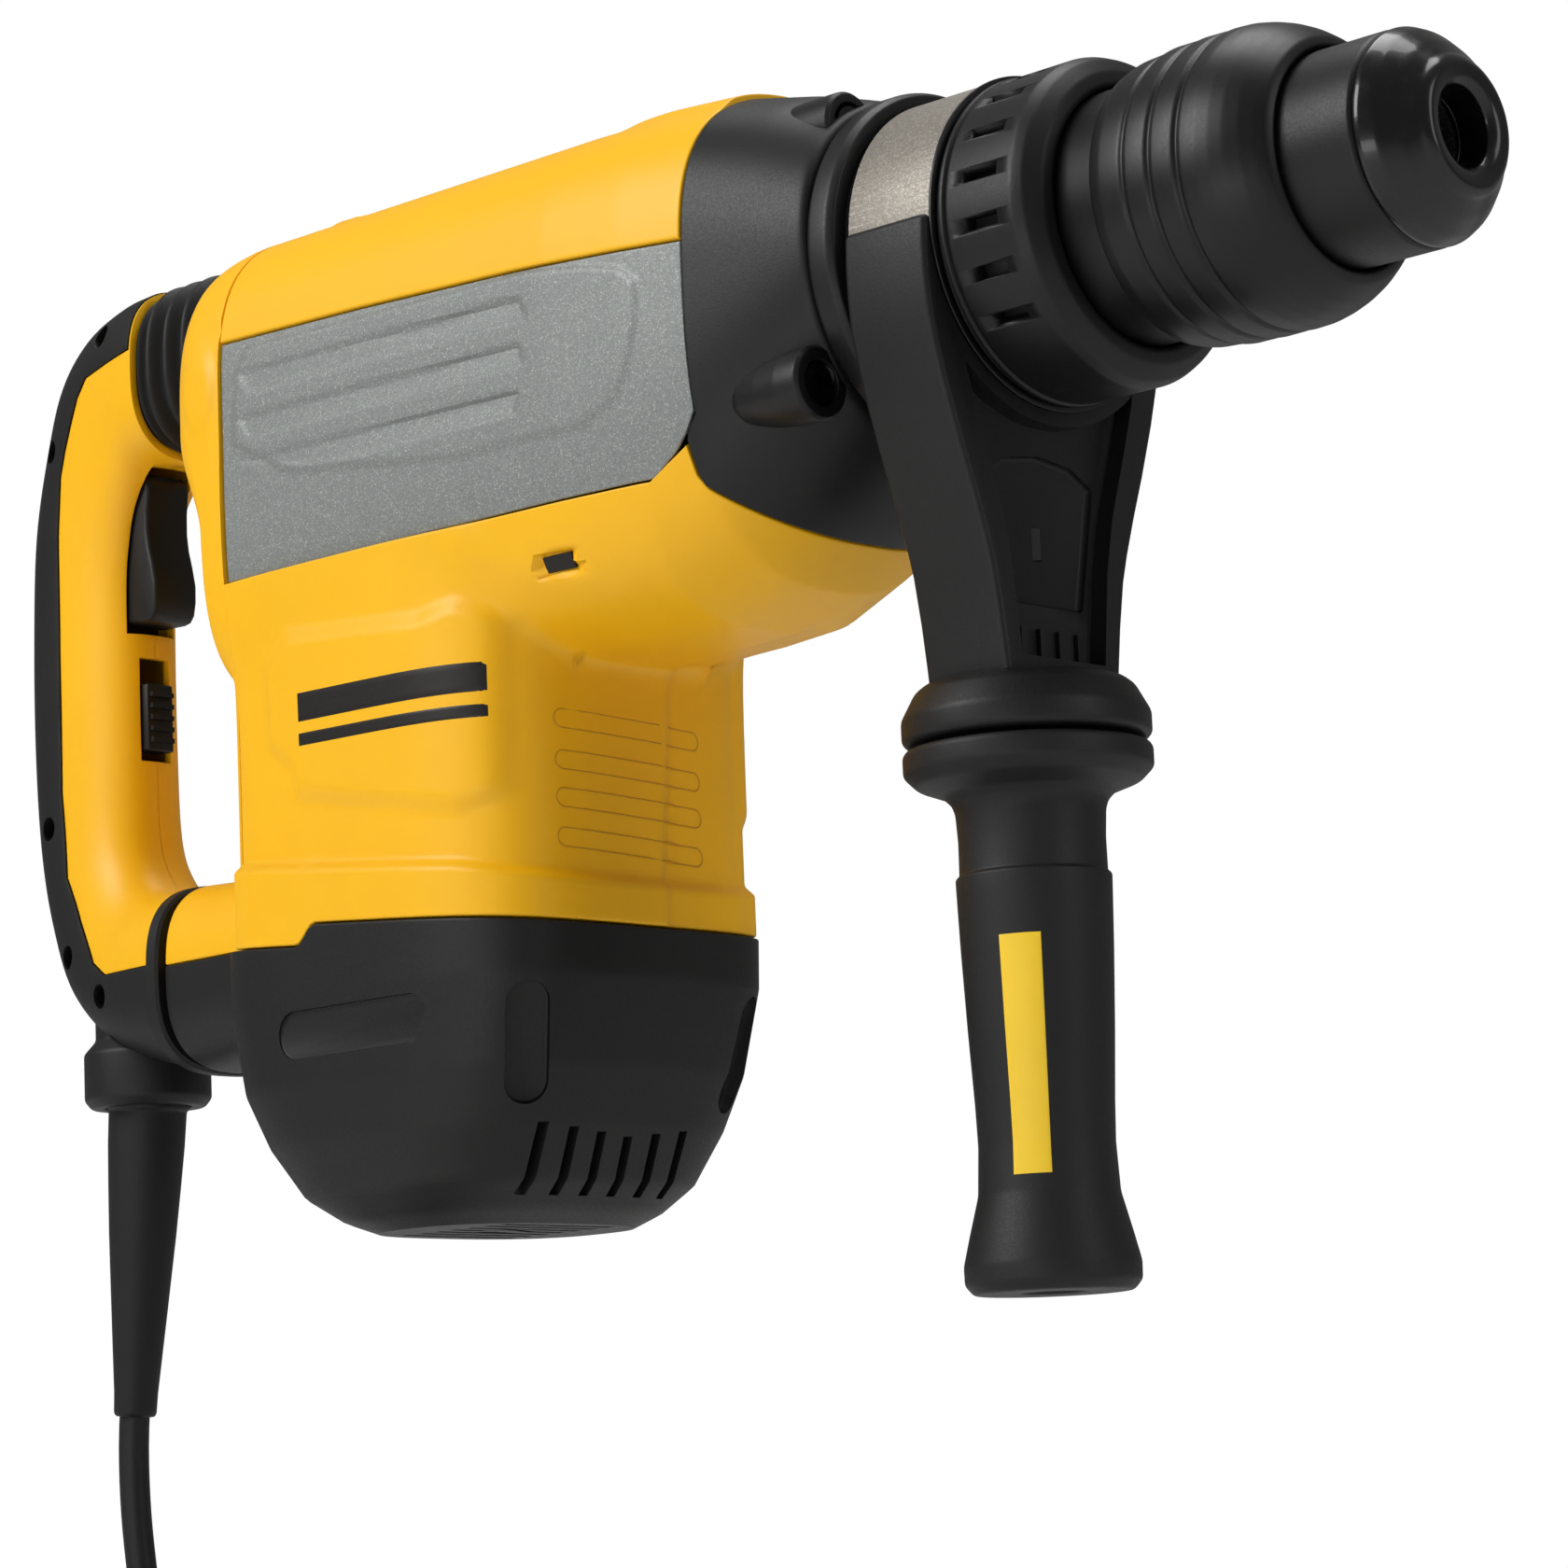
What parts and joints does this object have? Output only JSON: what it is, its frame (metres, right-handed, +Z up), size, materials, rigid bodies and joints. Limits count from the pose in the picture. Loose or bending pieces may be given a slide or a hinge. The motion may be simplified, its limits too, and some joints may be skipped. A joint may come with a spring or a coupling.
{
  "type": "rotary hammer",
  "caption": "Corded rotary hammer with vertical motor, D-shaped damped rear handle, swivelling side handle and keyless tool holder.",
  "frame": {"origin": "middle of the rear D-handle grip, where the tool is held", "axes": "+X forward along the spindle towards the bit, +Z up, +Y to the tool's left"},
  "size_m": [0.532, 0.1855, 0.4655],
  "materials": {
    "yellow": "satin moulded plastic, fine texture",
    "grey_panel": "grey metallic paint with fine flakes",
    "black_shell": "satin glass-filled plastic",
    "rubber": "soft matt rubber",
    "gloss_rubber": "polished rubber",
    "alloy": "die cast",
    "steel": "ground",
    "dark_steel": "blackened",
    "strap_metal": "warm grey metallic",
    "dark_plastic": "satin",
    "cord": "smooth rubber sheath",
    "tie": "woven hook-and-loop tape",
    "brass": "nickel bright",
    "copper": "laminated core with copper windings",
    "board": "potted"
  },
  "bodies": {
    "handle": {"handle_shell_right": "yellow", "handle_shell_left": "yellow", "handle_overmould": "rubber", "pivot_arm": "alloy", "switch_module": "dark_plastic", "handle_screws": "dark_steel", "damper_bellows": "rubber", "damper_spring": "steel", "cord_socket": "rubber", "strain_relief": "rubber", "power_cord": "cord", "cord_coil": "cord", "coil_tie": "tie", "plug_body": "cord", "plug_pins": "brass"},
    "trigger_lever": {"trigger": "black_shell"},
    "lock_button": {"lock_slide": "black_shell"},
    "housing": {"top_cover": "yellow", "rear_cover": "yellow", "motor_housing": "yellow", "side_panel_right": "grey_panel", "side_panel_left": "grey_panel", "gear_case": "black_shell", "motor_cap": "black_shell", "collar_flange": "black_shell", "front_barrel": "alloy", "vented_ring": "black_shell", "pivot_pin": "steel", "damper_guide": "steel", "stator": "copper", "bearings": "steel", "brush_gear": "brass", "case_screws": "dark_steel", "electronics": "board"},
    "mode_selector": {"mode_knob": "black_shell"},
    "dial": {"speed_dial": "black_shell"},
    "side_handle": {"side_yoke": "black_shell", "side_strap": "strap_metal", "clamp_nut": "steel"},
    "grip": {"clamp_rod": "steel", "grip_core": "dark_plastic", "side_grip": "rubber"},
    "spindle_set": {"spindle": "steel", "nose_cap": "gloss_rubber", "holder_ring": "rubber", "hammer_tube": "steel", "crown_gear": "steel", "sleeve_spring": "steel"},
    "sleeve": {"lock_sleeve": "rubber"},
    "upper_roller": {"roller_upper": "steel"},
    "lower_roller": {"roller_lower": "steel"},
    "beat_piece": {"impact_bolt": "steel"},
    "ram": {"striker": "steel"},
    "piston_set": {"piston": "alloy", "piston_pin": "steel"},
    "rod": {"con_rod": "steel"},
    "crank": {"crank_gear": "steel"},
    "lay": {"layshaft": "steel"},
    "rotor": {"motor_rotor": "steel", "motor_fan": "dark_plastic"}
  },
  "joints": [
    {"name": "handle_damper", "type": "hinge", "parent": "handle", "child": "housing", "pos_m": [0.08, 0, -0.105], "axis": [0, 1, 0], "range_deg": [-3, 0], "stiffness_Nm_per_rad": 300, "springref_deg": 1.72, "deforming": ["damper_bellows", "damper_spring"]},
    {"name": "trigger_pull", "type": "hinge", "parent": "handle", "child": "trigger_lever", "pos_m": [0.019, 0, 0.049], "axis": [0, 1, 0], "range_deg": [0, 7], "stiffness_Nm_per_rad": 0.4, "springref_deg": -8.59},
    {"name": "lock_travel", "type": "slide", "parent": "handle", "child": "lock_button", "axis": [0, 0, 1], "range_m": [0, 0.005]},
    {"name": "mode_turn", "type": "hinge", "parent": "housing", "child": "mode_selector", "pos_m": [0.232, 0.054, 0.024], "axis": [0, 1, 0], "range_deg": [0, 120]},
    {"name": "dial_turn", "type": "hinge", "parent": "housing", "child": "dial", "pos_m": [0.152, 0.054, 0.024], "axis": [0, 1, 0], "range_deg": [0, 270]},
    {"name": "side_swivel", "type": "hinge", "parent": "housing", "child": "side_handle", "pos_m": [0.3635, 0, 0.045], "axis": [1, 0, 0], "range_deg": [-180, 180]},
    {"name": "grip_turn", "type": "hinge", "parent": "side_handle", "child": "grip", "pos_m": [0.3635, 0, -0.15], "axis": [0, 0, 1], "range_deg": [0, 720]},
    {"name": "motor_spin", "type": "hinge", "parent": "housing", "child": "rotor", "pos_m": [0.163, 0, -0.06], "axis": [0, 0, 1], "continuous": true},
    {"name": "crank_spin", "type": "hinge", "parent": "housing", "child": "crank", "pos_m": [0.205, 0, 0], "axis": [0, 0, 1], "continuous": true},
    {"name": "lay_spin", "type": "hinge", "parent": "housing", "child": "lay", "pos_m": [0.253, 0, 0], "axis": [0, 0, 1], "continuous": true},
    {"name": "spindle_spin", "type": "hinge", "parent": "housing", "child": "spindle_set", "pos_m": [0.3, 0, 0.045], "axis": [1, 0, 0], "continuous": true},
    {"name": "sleeve_slide", "type": "slide", "parent": "spindle_set", "child": "sleeve", "axis": [1, 0, 0], "range_m": [-0.011, 0], "stiffness_N_per_m": 500, "springref_m": 0.006, "deforming": ["sleeve_spring"]},
    {"name": "upper_roller_lift", "type": "slide", "parent": "spindle_set", "child": "upper_roller", "axis": [0, 0, 1], "range_m": [0, 0.0018]},
    {"name": "lower_roller_lift", "type": "slide", "parent": "spindle_set", "child": "lower_roller", "axis": [0, 0, -1], "range_m": [0, 0.0018]},
    {"name": "beat_slide", "type": "slide", "parent": "spindle_set", "child": "beat_piece", "axis": [1, 0, 0], "range_m": [0, 0.012]},
    {"name": "ram_slide", "type": "slide", "parent": "spindle_set", "child": "ram", "axis": [1, 0, 0], "range_m": [-0.03, 0.005]},
    {"name": "piston_stroke", "type": "slide", "parent": "housing", "child": "piston_set", "axis": [1, 0, 0], "range_m": [0, 0.03]},
    {"name": "rod_swing", "type": "hinge", "parent": "piston_set", "child": "rod", "pos_m": [0.238, 0, 0.045], "axis": [0, 0, 1], "range_deg": [-15, 15]}
  ],
  "couplings": [
    {"joint": "crank_spin", "follows": "motor_spin", "ratio": -0.27273},
    {"joint": "lay_spin", "follows": "motor_spin", "ratio": 0.6},
    {"joint": "spindle_spin", "follows": "motor_spin", "ratio": 0.2},
    {"joint": "upper_roller_lift", "follows": "sleeve_slide", "ratio": -0.15},
    {"joint": "lower_roller_lift", "follows": "sleeve_slide", "ratio": -0.15}
  ]
}
